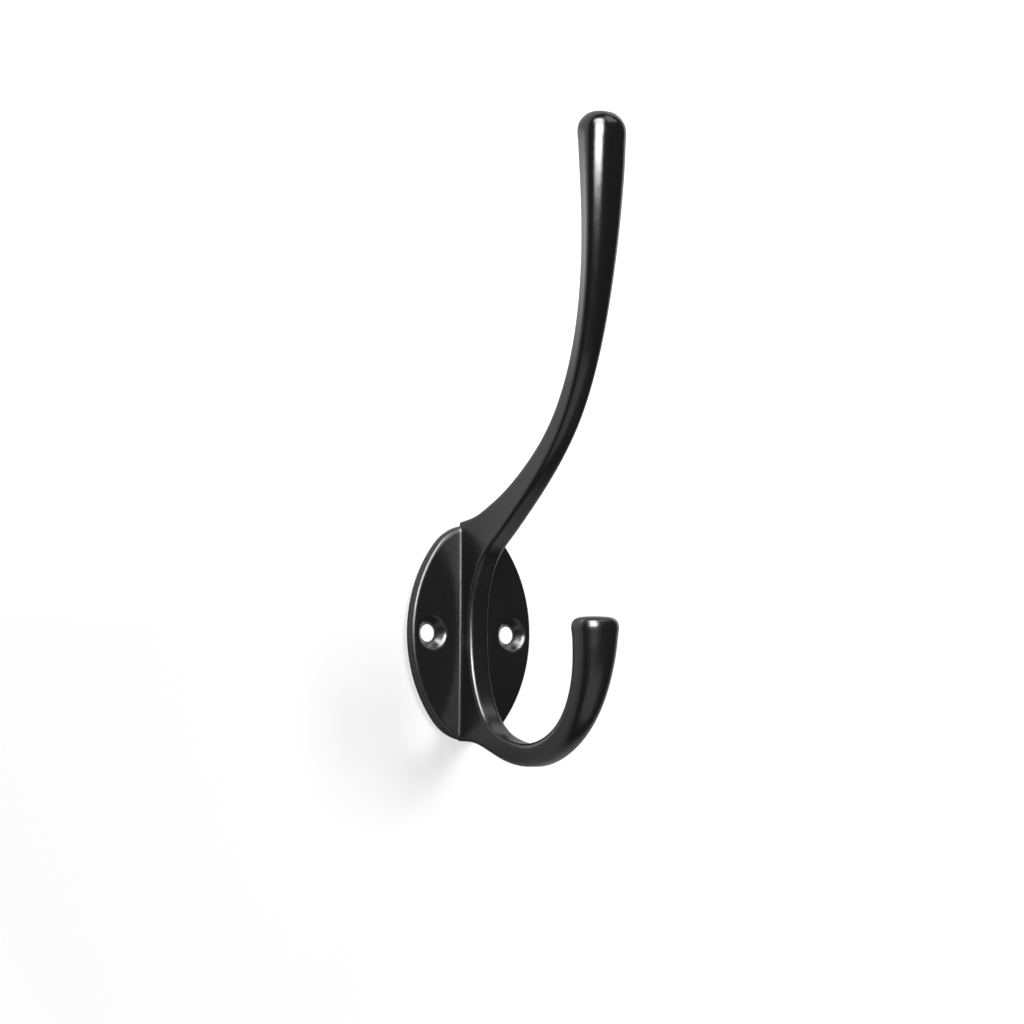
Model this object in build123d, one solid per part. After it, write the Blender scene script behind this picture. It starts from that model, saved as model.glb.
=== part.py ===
from build123d import *
import math
import os

# Coat hook, cast in one piece: an oval wall plate with two screw holes, a web that
# runs the full height of the plate, a long upper arm and a short lower hook.
# Millimetres. The wall is the plane Y = 0, the hook reaches out along -Y, +Z is up,
# and the origin is on the plate's back face, midway between the two screw holes.

# Wall plate
plate_width = 36.0
plate_height = 51.7
plate_centre_up = 0.25
plate_end_radius = 13.5
plate_thickness = 2.4
plate_edge_radius = 0.6

# Screw holes, countersunk for flat heads
hole_spacing = 24.0
hole_diameter = 4.2
countersink_diameter = 8.2
countersink_angle = 90.0

# Web: a strap that stands on the plate, narrow in front and flared at its foot
strap_width = 5.5
strap_gap = 2.75
strap_edge_radius = 0.6
foot_width = 7.0
foot_fillet_radius = 0.8
web_top = 25.8
web_bottom = 25.15
upper_wall_lean = 73.5
lower_wall_lean = 96.0
upper_back_lean = 57.0

# Upper arm, from the web to the domed tip
upper_root_out = 17.7
upper_root_up = 29.9
upper_root_lean = 45.3
upper_root_depth = 6.7
upper_neck_depth = 5.15
upper_tip_out = 49.45
upper_tip_up = 115.2
upper_tip_lean = -2.0
upper_tip_width = 11.9
upper_tip_depth = 9.15
upper_dome_height = 4.7
upper_dome_fullness = 0.12

# Lower hook, from the web round to the blunt tip
lower_root_out = 16.4
lower_root_down = 27.1
lower_root_lean = 115.0
lower_neck_depth = 4.85
lower_tip_out = 47.95
lower_tip_up = 0.8
lower_tip_lean = -1.0
lower_tip_width = 11.4
lower_tip_depth = 9.1
lower_dome_height = 2.3
lower_dome_fullness = 0.6

# How far each curve of the side view holds its first and its last direction
upper_arm_pulls = (11.7, 68.5)
lower_hook_pulls = (11.8, 27.6)
upper_front_pulls = (18.4, 10.5)
lower_front_pulls = (23.6, 0.8)
upper_back_pulls = (6.0, 6.0)
lower_back_pulls = (8.1, 7.5)

# A tip's corners take this share of its half width and half depth
tip_roundness = 0.88

# Cross sections: places along the front curve and the back curve of the web, and
# places along the middle line of an arm, all as shares of the curve's length
upper_web_places = ((0.81, 0.71), (0.665, 0.37), (0.55, 0.0))
lower_web_places = ((0.885, 0.68), (0.765, 0.37), (0.64, 0.0))
strap_places = (0.4, 0.2)
arm_rib_count = 11
hook_rib_count = 9
upper_dome_angles = (22.5, 45, 67.5, 88)
lower_dome_angles = (25, 50, 70, 80, 86, 89.8)
wall_overrun = 1.2
behind_wall = 2.4


def side_point(out, up):
    """A point of the side view, in the middle plane of the hook."""
    return Vector(0, -out, up)


def side_direction(lean):
    """A direction of the side view: 0 is straight up, 90 straight out from the wall."""
    angle = math.radians(lean)
    return Vector(0, -math.sin(angle), math.cos(angle))


def side_curve(start, start_lean, end, end_lean, pulls):
    """A curve of the side view that leaves and arrives in given directions."""
    after_start = start + side_direction(start_lean) * pulls[0]
    before_end = end - side_direction(end_lean) * pulls[1]
    return Edge.make_bezier(start, after_start, before_end, end)


def corner(start, tip, end):
    """A rounded corner, tangent to both sides that meet at its tip."""
    bulge = 0.5523
    return Edge.make_bezier(start, start + (tip - start) * bulge, end + (tip - end) * bulge, end)


def rib(front, back, front_width, back_width, softness):
    """One cross section, from a front point of the side view to a back point.

    softness 0 gives the strap's small edge radius, and 1 the full rounding of a tip.
    """
    half_front = Vector(front_width / 2, 0, 0)
    half_back = Vector(back_width / 2, 0, 0)
    corners = (front - half_front, front + half_front, back + half_back, back - half_back)
    half_width = min(front_width, back_width) / 2
    half_depth = (front - back).length / 2
    across = strap_edge_radius + (tip_roundness * half_width - strap_edge_radius) * softness
    along = strap_edge_radius + (tip_roundness * half_depth - strap_edge_radius) * softness
    across = min(across, tip_roundness * half_width)
    along = min(along, tip_roundness * half_depth)
    edges = []
    for index, tip in enumerate(corners):
        after = corners[(index + 1) % 4]
        beyond = corners[(index + 2) % 4]
        this_radius, next_radius = (across, along) if index % 2 == 0 else (along, across)
        side = (after - tip).normalized()
        next_side = (beyond - after).normalized()
        end = after - side * this_radius
        edges.append(Edge.make_line(tip + side * this_radius, end))
        edges.append(corner(end, after, after + next_side * next_radius))
    return Wire(edges)


def arm_points(line, place, facing, depth):
    """The front and back points of an arm, square to its middle line."""
    half = Vector(1, 0, 0).cross(line % place) * (facing * depth / 2)
    return line @ place + half, line @ place - half


def graded(index, count):
    """A share of a curve's length, with the steps getting shorter towards its end."""
    return 1 - (1 - index / count) ** 1.6


def dome_ribs(line, facing, width, depth, height, fullness, angles):
    """Shrinking cross sections that close the end of an arm.

    fullness 0 gives a round dome, and values towards 1 a flatter top with a tighter edge.
    """
    ribs = []
    for angle in angles:
        turn = math.radians(angle)
        size = math.cos(turn) ** (1 - fullness)
        rise = (line % 1) * (height * math.sin(turn))
        front, back = arm_points(line, 1, facing, depth * size)
        ribs.append(rib(front + rise, back + rise, width * size, width * size, 1))
    return ribs


def web_back_width(front, back, root_back):
    """The web flares to its foot's width where its back meets the plate's face."""
    flare = foot_width - strap_width
    beyond_face = -back.Y - plate_thickness
    if beyond_face > 0:
        return strap_width + flare * (1 - beyond_face / (-root_back.Y - plate_thickness))
    return strap_width + flare * (front.Y - back.Y) / (front.Y + plate_thickness)


# Side view: the middle lines of the two arms
upper_root = side_point(upper_root_out, upper_root_up)
upper_tip = side_point(upper_tip_out, upper_tip_up)
upper_line = side_curve(upper_root, upper_root_lean, upper_tip, upper_tip_lean, upper_arm_pulls)
lower_root = side_point(lower_root_out, -lower_root_down)
lower_tip = side_point(lower_tip_out, lower_tip_up)
lower_line = side_curve(lower_root, lower_root_lean, lower_tip, lower_tip_lean, lower_hook_pulls)
upper_front, upper_back = arm_points(upper_line, 0, 1, upper_root_depth)
lower_front, lower_back = arm_points(lower_line, 0, -1, lower_neck_depth)

# Side view: the front of the strap, and the web's upper and lower edges at the wall
strap_point = side_point(plate_thickness + strap_gap, 1)
wall_top = side_point(0, web_top) - side_direction(upper_wall_lean) * wall_overrun
wall_bottom = side_point(0, -web_bottom) - side_direction(lower_wall_lean) * wall_overrun
upper_front_line = side_curve(strap_point, 0, upper_front, upper_root_lean, upper_front_pulls)
lower_front_line = side_curve(strap_point, 180, lower_front, lower_root_lean, lower_front_pulls)
upper_back_line = side_curve(wall_top, upper_wall_lean, upper_back, upper_back_lean, upper_back_pulls)
lower_back_line = side_curve(wall_bottom, lower_wall_lean, lower_back, lower_root_lean, lower_back_pulls)


def web_rib(front_line, back_line, places, root_back):
    """A cross section of the web, from the strap's front to the edge of the web."""
    front = front_line @ places[0]
    back = back_line @ places[1]
    return rib(front, back, strap_width, web_back_width(front, back, root_back), 0)


def strap_rib(front, back_up):
    """A cross section of the strap that runs on behind the wall, to be trimmed there."""
    back = side_point(-behind_wall, back_up)
    return rib(front, back, strap_width, web_back_width(front, back, back), 0)


ribs = dome_ribs(
    upper_line,
    1,
    upper_tip_width,
    upper_tip_depth,
    upper_dome_height,
    upper_dome_fullness,
    upper_dome_angles,
)
ribs.reverse()

# Upper arm: the depth swells late towards the tip, and the width earlier
for index in range(arm_rib_count, -1, -1):
    place = graded(index, arm_rib_count)
    swell = 1 - (1 - place ** 3) ** 1.8
    width = strap_width + (upper_tip_width - strap_width) * swell
    depth = upper_neck_depth + (upper_tip_depth - upper_neck_depth) * place ** 4
    if place < 0.2:
        depth += (upper_root_depth - upper_neck_depth) * math.cos(math.radians(90 * place / 0.2)) ** 2
    softness = math.sin(math.radians(90 * min(1, place / 0.75)))
    front, back = arm_points(upper_line, place, 1, depth)
    ribs.append(rib(front, back, width, width, softness))

# Web and strap, from the top of the plate to its bottom
for places in upper_web_places:
    ribs.append(web_rib(upper_front_line, upper_back_line, places, upper_back))
for place in strap_places:
    front = upper_front_line @ place
    ribs.append(strap_rib(front, front.Z * 1.35))
ribs.append(strap_rib(strap_point, strap_point.Z))
for place in reversed(strap_places):
    front = lower_front_line @ place
    ribs.append(strap_rib(front, front.Z * 1.35))
for places in reversed(lower_web_places):
    ribs.append(web_rib(lower_front_line, lower_back_line, places, lower_back))

# Lower hook
for index in range(hook_rib_count + 1):
    place = graded(index, hook_rib_count)
    width = strap_width + (lower_tip_width - strap_width) * place ** 1.8
    depth = lower_neck_depth + (lower_tip_depth - lower_neck_depth) * place ** 1.15
    softness = math.sin(math.radians(90 * min(1, place / 0.5)))
    front, back = arm_points(lower_line, place, -1, depth)
    ribs.append(rib(front, back, width, width, softness))
ribs += dome_ribs(
    lower_line,
    -1,
    lower_tip_width,
    lower_tip_depth,
    lower_dome_height,
    lower_dome_fullness,
    lower_dome_angles,
)

bar = Solid.make_loft(ribs)

# Trim what runs on behind the plate's rounded rim
block_size = 400
block_front = plate_thickness - plate_edge_radius
bar = bar - Pos(0, block_size / 2 - block_front, 0) * Box(block_size, block_size, block_size)


def oval(width, height, end_radius):
    """An upright oval of four arcs, with round ends and flatter sides."""
    end_centre = height / 2 - end_radius
    side_radius = (width ** 2 / 4 + height ** 2 / 4 - height * end_radius) / (width - 2 * end_radius)
    side_centre = width / 2 - side_radius
    reach = math.hypot(side_centre, end_centre)
    joint_x = -side_centre / reach * end_radius
    joint_y = end_centre + end_centre / reach * end_radius
    right = ThreePointArc((joint_x, -joint_y), (width / 2, 0), (joint_x, joint_y))
    top = ThreePointArc((joint_x, joint_y), (0, height / 2), (-joint_x, joint_y))
    left = ThreePointArc((-joint_x, joint_y), (-width / 2, 0), (-joint_x, -joint_y))
    bottom = ThreePointArc((-joint_x, -joint_y), (0, -height / 2), (joint_x, -joint_y))
    return Plane.XZ * Pos(0, plate_centre_up) * make_face([right, top, left, bottom])


# Wall plate with a rounded front rim
plate = extrude(oval(plate_width, plate_height, plate_end_radius), plate_thickness)
rim = plate.edges().filter_by(lambda edge: abs(edge.center().Y + plate_thickness) < 0.001)
plate = fillet(rim, plate_edge_radius)


def foot_strip(side):
    """A concave strip that blends one flank of the web into the plate's face."""
    flank = math.atan((foot_width - strap_width) / 2 / strap_gap)
    reach = foot_fillet_radius * math.tan((math.pi / 2 - flank) / 2)
    foot = Vector(side * foot_width / 2, -plate_thickness)
    on_plate = foot + Vector(side * reach, 0.02)
    on_flank = foot - Vector(side * (math.sin(flank) * reach + 0.02), math.cos(flank) * reach)
    inside = foot + Vector(-side * foot_width / 4, plate_thickness / 2)
    curve = RadiusArc(on_plate, on_flank, -side * foot_fillet_radius)
    profile = make_face([curve, Line(on_flank, inside), Line(inside, on_plate)])
    return extrude(profile, plate_height / 2, both=True)


# Concave strips down both sides of the web's foot, up to the plate's rounded rim
flat_width = plate_width - 2 * plate_edge_radius
flat_height = plate_height - 2 * plate_edge_radius
flat_oval = oval(flat_width, flat_height, plate_end_radius - plate_edge_radius)
flat_part = extrude(flat_oval, plate_thickness * 2)
hook = plate + (foot_strip(-1) & flat_part) + (foot_strip(1) & flat_part) + bar

# Two screw holes, sunk from the front for flat heads
hole_radius = hole_diameter / 2
sink_radius = countersink_diameter / 2
sink_depth = (sink_radius - hole_radius) / math.tan(math.radians(countersink_angle / 2))
for side in (-1, 1):
    centre = side * hole_spacing / 2
    shank = Pos(centre, -plate_thickness / 2, 0) * Rot(90, 0, 0) * Cylinder(hole_radius, plate_thickness * 2)
    sink = Rot(90, 0, 0) * Cone(hole_radius, sink_radius, sink_depth)
    hook = hook - shank - Pos(centre, sink_depth / 2 - plate_thickness, 0) * sink

os.makedirs("parts", exist_ok=True)
export_step(hook, "parts/coat_hook.step")
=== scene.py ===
# %% [markdown]
# # A cast coat hook with a satin black coat
# The hook is one casting: an oval wall plate, a web that stands on it, a long upper arm
# with a domed end and a short lower hook with a blunt end. Its shape comes finished from
# the CAD model, so this lesson is about finish and light: a black coat that looks like
# enamel on metal, a white studio wall that keeps a soft shadow, and lamps placed where
# their reflections run along the arm.

import bpy
import math
from mathutils import Matrix, Vector


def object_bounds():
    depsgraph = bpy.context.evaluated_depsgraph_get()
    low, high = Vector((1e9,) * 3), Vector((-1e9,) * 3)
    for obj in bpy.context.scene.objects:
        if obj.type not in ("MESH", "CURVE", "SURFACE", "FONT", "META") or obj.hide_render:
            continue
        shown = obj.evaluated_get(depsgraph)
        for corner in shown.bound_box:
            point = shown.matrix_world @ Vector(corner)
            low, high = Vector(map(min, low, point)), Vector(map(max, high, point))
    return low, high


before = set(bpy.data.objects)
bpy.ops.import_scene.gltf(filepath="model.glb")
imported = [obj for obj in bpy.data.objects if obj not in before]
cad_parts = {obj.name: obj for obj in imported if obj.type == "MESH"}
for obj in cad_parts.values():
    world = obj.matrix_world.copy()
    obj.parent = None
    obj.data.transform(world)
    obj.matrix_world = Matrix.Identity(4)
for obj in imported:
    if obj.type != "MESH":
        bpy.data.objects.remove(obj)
cast_low, cast_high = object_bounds()
cast_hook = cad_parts["coat_hook"]
cast_size = [round(1000 * side, 1) for side in cast_high - cast_low]
print("Width, reach and height in millimetres:", cast_size)

# %% [markdown]
# ## Writing shader maths as plain expressions
# A material is a graph of nodes. It could be wired by hand in the shader editor, node by
# node, but that hides the idea behind it. So this small class wraps an output socket and
# lets Python operators add the Math nodes. An expression such as `1 - spread * 2` then
# builds its part of the graph by itself.

# %% A socket that can be added, multiplied and subtracted
class Signal:
    """An output socket of a shader graph that takes part in plain arithmetic."""

    def __init__(self, graph, socket):
        self.graph = graph
        self.socket = socket

    def maths(self, operation, left, right):
        numbers = {0: left, 1: right}
        return self.graph.node("ShaderNodeMath", {"operation": operation}, numbers)["Value"]

    def __add__(self, other):
        return self.maths("ADD", self, other)

    def __radd__(self, other):
        return self.maths("ADD", other, self)

    def __sub__(self, other):
        return self.maths("SUBTRACT", self, other)

    def __rsub__(self, other):
        return self.maths("SUBTRACT", other, self)

    def __mul__(self, other):
        return self.maths("MULTIPLY", self, other)

    def __rmul__(self, other):
        return self.maths("MULTIPLY", other, self)

    def at_most(self, limit):
        return self.maths("MINIMUM", self, limit)

    def above(self, limit):
        return self.maths("GREATER_THAN", self, limit)


# %% A graph that makes any node from its type, settings and inputs
class Graph:
    """The node graph of one material or of the world."""

    def __init__(self, owner):
        owner.use_nodes = True
        self.tree = owner.node_tree
        self.tree.nodes.clear()

    def node(self, kind, settings=None, inputs=None):
        made = self.tree.nodes.new(kind)
        for name, value in (settings or {}).items():
            setattr(made, name, value)
        for name, value in (inputs or {}).items():
            if isinstance(value, Signal):
                self.tree.links.new(value.socket, made.inputs[name])
            else:
                made.inputs[name].default_value = value
        return {output.name: Signal(self, output) for output in made.outputs}


# %% [markdown]
# ## The black coat
# The real hook is sprayed or dipped black and cured. Such a coat is smooth enough to
# mirror a lamp as a clear band, yet the band's edge is soft. It could be built as a matt
# black under a separate clear coat. One layer is enough here: cured enamel has a high
# index of refraction, which mirrors about twice as much as a plain plastic and makes the
# black look deep. Very fine waves, the flow of the cured film, keep long highlights from
# looking drawn with a ruler.

# %% Let the film flow
flow_waves_per_metre = 420
flow_detail = 2.0
grain_waves_per_metre = 5200
grain_detail = 1.0
wave_roughness = 0.5

satin_black = bpy.data.materials.new("satin_black_coat")
coat = Graph(satin_black)
place = coat.node("ShaderNodeTexCoord")["Object"]
along = coat.node("ShaderNodeSeparateXYZ", {}, {0: place})


def film_waves(waves_per_metre, detail):
    """Soft random waves in the film, which vary around a half."""
    return coat.node(
        "ShaderNodeTexNoise",
        {"noise_dimensions": "3D"},
        {
            "Vector": place,
            "Scale": waves_per_metre,
            "Detail": detail,
            "Roughness": wave_roughness,
        },
    )["Fac"]


flow = film_waves(flow_waves_per_metre, flow_detail)
grain = film_waves(grain_waves_per_metre, grain_detail)
print("The film flows in waves of", round(1000 / flow_waves_per_metre, 1), "millimetres")

# %% [markdown]
# ## The cast rim of the plate
# The film draws thin over the front rim of the plate, so a fine speckle of the casting
# shows there. The rim could be painted by hand as a mask. The plate is close to an
# ellipse, though, so the distance from its middle, measured in half widths and half
# heights, finds the rim without any painting.

# %% Two helpers that turn a place into a mask
def ramp(graph, value, start, end, low, high, curve="LINEAR"):
    """Goes from low to high while the value goes from start to end."""
    return graph.node(
        "ShaderNodeMapRange",
        {"interpolation_type": curve},
        {"Value": value, "From Min": start, "From Max": end, "To Min": low, "To Max": high},
    )["Result"]


def distance(graph, spot, middle, scale):
    """How far a spot is from a middle, with each axis multiplied by its own scale."""
    aside = graph.node(
        "ShaderNodeVectorMath", {"operation": "SUBTRACT"}, {0: spot, 1: middle}
    )["Vector"]
    scaled = graph.node(
        "ShaderNodeVectorMath", {"operation": "MULTIPLY"}, {0: aside, 1: scale}
    )["Vector"]
    return graph.node("ShaderNodeVectorMath", {"operation": "LENGTH"}, {0: scaled})["Value"]


# %% Find the plate's cast rim
plate_middle = (0, 0, 0)
plate_half_width = 0.018
plate_half_height = 0.0258
plate_front = -0.0028
rim_starts = 0.945
rim_full = 0.975
speckle_waves_per_metre = 2200
speckle_detail = 1.0

plate_scale = (1 / plate_half_width, 0, 1 / plate_half_height)
outward = distance(coat, place, plate_middle, plate_scale)
at_edge = ramp(coat, outward, rim_starts, rim_full, 0.0, 1.0, "SMOOTHSTEP")
rim = at_edge * along["Y"].above(plate_front)
speckle = film_waves(speckle_waves_per_metre, speckle_detail)
rim_width = plate_half_width * (1 - rim_starts)
print("The speckled rim is", round(1000 * rim_width, 1), "millimetre wide at the sides")

# %% [markdown]
# ## A level highlight
# The CAD mesh is made of small flat triangles, and a glossy highlight shows each of them.
# The mesh could be smoothed, but that would move its points and change its sizes. The
# Bevel node only averages the directions of the surface within a small radius, so the
# highlight becomes level and no point moves. The radius is small on the plate and the
# strap, to keep their edges crisp, and grows along the smooth upper arm.

# %% Level the highlight
strap_ends = 0.055
tip_starts = 0.08
levelling_small = 0.0014
levelling_large = 0.003
levelling_rays = 16

levelling = ramp(coat, along["Z"], strap_ends, tip_starts, levelling_small, levelling_large)
levelled = coat.node("ShaderNodeBevel", {"samples": levelling_rays}, {"Radius": levelling})
print("Levelled over", 1000 * levelling_small, "to", 1000 * levelling_large, "millimetres")

# %% [markdown]
# ## Gloss and colour
# The upper arm is the glossiest, with a roughness of about a sixth, and the plate, the
# strap and the lower hook sit at a quarter, where lamps mirror as softer patches. The
# waves of the film change the roughness a little and give the bump its height, and the
# speckle of the rim is added to both. All of it is put together in one shader.

# %% Raise the waves of the film
flow_share = 0.95
grain_share = 0.05
speckle_share = 2.5
flow_height = 0.00003
bump_strength = 0.2

surface_height = flow * flow_share + grain * grain_share + rim * speckle * speckle_share
waves = coat.node(
    "ShaderNodeBump",
    {},
    {
        "Strength": bump_strength,
        "Distance": flow_height,
        "Height": surface_height,
        "Normal": levelled["Normal"],
    },
)["Normal"]
print("The waves are", round(1000000 * flow_height), "thousandths of a millimetre high")

# %% Mix the satin black coat
film_black = (0.004, 0.004, 0.0042, 1)
film_index = 1.85
arm_roughness = 0.16
plate_roughness = 0.25
roughness_spread = 0.05
middle_wave = 0.5
rim_roughness = 0.1

film_roughness = ramp(coat, along["Z"], strap_ends, tip_starts, plate_roughness, arm_roughness)
mottling = (flow - middle_wave) * roughness_spread
enamel = coat.node(
    "ShaderNodeBsdfPrincipled",
    {},
    {
        "Base Color": film_black,
        "Roughness": film_roughness + mottling + rim * rim_roughness,
        "Normal": waves,
        "IOR": film_index,
    },
)["BSDF"]
coat.node("ShaderNodeOutputMaterial", {}, {"Surface": enamel})
print("Black coat made, with a roughness of", arm_roughness, "to", plate_roughness)

# %% Coat the hook
for slot in cast_hook.material_slots:
    slot.material = satin_black
print("Coated:", cast_hook.name, "with", len(cast_hook.data.polygons), "faces")

# %% [markdown]
# ## The studio wall
# The hook hangs on a white paper wall. The paper could be lit white by strong lamps, but
# their light would flood the hook, so it glows for the camera instead. It is drawn as a
# small square that is then pulled out to its size and stood up.

# %% Hang the paper wall
paper_width = 5.0
paper_height = 4.0
paper_place = -0.0002
quarter_turn = math.radians(90)

bpy.ops.object.select_all(action="DESELECT")
bpy.ops.mesh.primitive_plane_add(size=1, location=(0, 0, 0))
paper = bpy.context.object
paper.name = "paper_wall"
bpy.ops.object.mode_set(mode="EDIT")
bpy.ops.transform.resize(value=(paper_width, paper_height, 1))
bpy.ops.transform.rotate(value=quarter_turn, orient_axis="X", center_override=(0, 0, 0))
bpy.ops.transform.translate(value=(0, paper_place, 0))
bpy.ops.object.mode_set(mode="OBJECT")
if paper.data.polygons[0].normal.y > 0:
    paper.data.flip_normals()
paper_side = [round(side, 2) for side in paper.dimensions]
print("Paper wall in metres:", paper_side, "facing", paper.data.polygons[0].normal)

# %% [markdown]
# ## White paper that keeps a shadow
# Paper that glows at full strength can't show a shadow. Around and below the plate the
# glow is therefore weaker, and a lamp of the paper's own makes up the rest: where the
# hook blocks that lamp, a soft grey shadow is left. For reflections alone the paper has a
# painted reflection glow: darker low down than high up, with one painted bright pool of
# light to the left of the upper arm, which draws the bright line on the edge that faces
# it. Seen from behind the paper is clear, so that the hook can be looked at from all sides.

# %% Leave room for the shadow
full_glow = 1.0
shaded_glow = 0.7
shade_bottom = 0.0
shade_top = 0.03
shade_near = 0.14
shade_far = 0.3

white_paper = bpy.data.materials.new("white_paper")
sheet = Graph(white_paper)
spot_on_wall = sheet.node("ShaderNodeTexCoord")["Object"]
height_on_wall = sheet.node("ShaderNodeSeparateXYZ", {}, {0: spot_on_wall})["Z"]
below = ramp(sheet, height_on_wall, shade_bottom, shade_top, 1.0, 0.0)
off_plate = distance(sheet, spot_on_wall, plate_middle, (1, 1, 1))
around = ramp(sheet, off_plate, shade_near, shade_far, 1.0, 0.0)
seen_glow = full_glow - (full_glow - shaded_glow) * (below * around)
print("The glow is", shaded_glow, "around the plate and", full_glow, "elsewhere")

# %% Paint the reflection glow that the hook mirrors
# Painted reflection: a glow that only glossy rays see, darker low down and brighter high up,
# with a painted pool of light to the left of the upper arm
mirrored_low = 0.063
mirrored_high = 0.385
grade_bottom = -0.03
grade_top = 0.03
painted_pool_glow = 2.24
pool_middle = (-0.07, 0.0, 0.098)
pool_half_width = 0.09
pool_half_height = 0.045

graded = ramp(sheet, height_on_wall, grade_bottom, grade_top, mirrored_low, mirrored_high)
pool_scale = (1 / pool_half_width, 1, 1 / pool_half_height)
near_pool = distance(sheet, spot_on_wall, pool_middle, pool_scale).at_most(1.0)
inside = 1 - near_pool * near_pool
painted_reflection_glow = graded + painted_pool_glow * (inside * inside)
print("Mirrored at", mirrored_low, "to", mirrored_high, "with a pool of", painted_pool_glow)

# %% Make the paper white
paper_grey = (0.8, 0.8, 0.8, 1)

ray = sheet.node("ShaderNodeLightPath")
direct = ray["Is Camera Ray"] + ray["Is Transmission Ray"]
# Camera rays see the plain white glow, and glossy rays see the painted reflection glow
glow_level = direct * seen_glow + ray["Is Glossy Ray"] * painted_reflection_glow
glow = sheet.node("ShaderNodeEmission", {}, {"Color": glow_level, "Strength": 1.0})["Emission"]
matt = sheet.node("ShaderNodeBsdfDiffuse", {}, {"Color": paper_grey})["BSDF"]
front = sheet.node("ShaderNodeAddShader", {}, {0: glow, 1: matt})["Shader"]
clear = sheet.node("ShaderNodeBsdfTransparent")["BSDF"]
behind = sheet.node("ShaderNodeNewGeometry")["Backfacing"]
paper_face = sheet.node("ShaderNodeMixShader", {}, {0: behind, 1: front, 2: clear})["Shader"]
sheet.node("ShaderNodeOutputMaterial", {}, {"Surface": paper_face})
paper.data.materials.append(white_paper)
print("Paper made white, with", len(sheet.tree.nodes), "nodes")

# %% [markdown]
# ## Light
# A black hook shows its form through what it mirrors. It could stand under one large
# lamp, but then its whole front would turn grey. Instead two lamps in front, one above
# the other, give the bright band down the upper arm. A weak lamp high on the right
# lights the domed end, a weak one low in front lifts the lower hook, and the painted
# reflection glow of the paper gives the grey band along the edge that faces it. Everything
# else in front stays dim, so the front faces stay black. The lamps in front are linked to
# the hook alone, so that they throw no second shadow, and the shadow lamp is linked to the
# paper alone.

# %% A helper for soft lamps
def lamp(name, sideways, out, lift, width, length, watts, target, lights=None):
    """A soft rectangular lamp. Sideways is degrees to the left of straight in front."""
    data = bpy.data.lights.new(name, "AREA")
    data.shape = "RECTANGLE"
    data.size = width
    data.size_y = length
    data.energy = watts
    made = bpy.data.objects.new(name, data)
    bpy.context.scene.collection.objects.link(made)
    turn = math.radians(sideways)
    made.location = (-math.sin(turn) * out, -math.cos(turn) * out, lift)
    towards = Vector(target) - made.location
    made.rotation_euler = towards.to_track_quat("-Z", "Y").to_euler()
    if lights:
        only = bpy.data.collections.new(name + "_lights")
        only.objects.link(lights)
        made.light_linking.receiver_collection = only
    print(name, "at", [round(value, 2) for value in made.location])


# %% Hang the lamps
hook_middle = (0, -0.03, 0.05)
hook_tip = (0, -0.05, 0.1)

lamp("band_lamp", sideways=21, out=1.26, lift=0.42, width=0.8, length=0.5,
     watts=24, target=hook_tip, lights=cast_hook)
lamp("tall_lamp", sideways=21, out=0.885, lift=0.91, width=0.8, length=0.75,
     watts=19, target=hook_tip, lights=cast_hook)
lamp("top_lamp", sideways=-45, out=0.8, lift=1.0, width=0.6, length=0.5,
     watts=1.0, target=hook_middle)
lamp("low_lamp", sideways=0, out=0.5, lift=-0.45, width=0.9, length=0.5,
     watts=0.5, target=hook_middle, lights=cast_hook)
lamp("shadow_lamp", sideways=-30, out=1.2, lift=0.25, width=0.5, length=0.5,
     watts=6.5, target=hook_middle, lights=paper)

# %% [markdown]
# ## The room
# In front of the hook the studio is nearly dark, which is what the black faces mirror. A
# grey world would be simpler, but it would fill the background past the paper with grey,
# so the room is dim for light and reflections and white where the camera looks at it.

# %% Light the room dimly
room_white = 1.0
room_dim = 0.03
plain_white = (1, 1, 1, 1)

world = bpy.data.worlds.new("studio_room")
bpy.context.scene.world = world
room = Graph(world)
look = room.node("ShaderNodeLightPath")
looked_at = look["Is Camera Ray"] + look["Is Transmission Ray"]
level = room_dim + (room_white - room_dim) * looked_at
air = room.node("ShaderNodeBackground", {}, {"Color": plain_white, "Strength": level})
room.node("ShaderNodeOutputWorld", {}, {"Surface": air["Background"]})
print("Room made", room_white, "for the camera and", room_dim, "for light")

# %% [markdown]
# ## Camera
# The picture is taken from the left of the hook and from a little below its middle, with
# a long lens, so the upright lines stay nearly parallel. A camera could be aimed at the
# hook by eye. Here its three directions are worked out from its angles, and its place
# from where the middle between the screw holes should land in the picture.

# %% Work out the camera's directions
camera_left = math.radians(38.8)
camera_rise = math.radians(-3.85)
camera_roll = math.radians(0.38)

across = math.cos(camera_rise)
back = Vector(
    (-math.sin(camera_left) * across, -math.cos(camera_left) * across, math.sin(camera_rise))
)
level_right = Vector((math.cos(camera_left), -math.sin(camera_left), 0))
level_up = back.cross(level_right)
right = level_right * math.cos(camera_roll) + level_up * math.sin(camera_roll)
up = level_up * math.cos(camera_roll) - level_right * math.sin(camera_roll)
print("The camera looks along", [round(-value, 3) for value in back])

# %% Place the camera
camera_distance = 0.7875
picture_centre_right = 0.01103
picture_centre_up = 0.02936
focal_length = 115.2
sensor_width = 36
nearest_seen = 0.01
farthest_seen = 20

view = bpy.data.cameras.new("view")
view.lens = focal_length
view.sensor_width = sensor_width
view.clip_start = nearest_seen
view.clip_end = farthest_seen
camera = bpy.data.objects.new("camera", view)
bpy.context.scene.collection.objects.link(camera)
spot = right * picture_centre_right + up * picture_centre_up + back * camera_distance
turned = Matrix((right, up, back)).transposed().to_4x4()
camera.matrix_world = Matrix.Translation(spot) @ turned
bpy.context.scene.camera = camera
print("Camera at", [round(value, 3) for value in camera.location])

# %% [markdown]
# ## Plain colours
# The Standard view shows each colour as it is written, where a filmic one would grey the
# white paper.

# %% Keep plain colours
bpy.context.scene.view_settings.view_transform = "Standard"
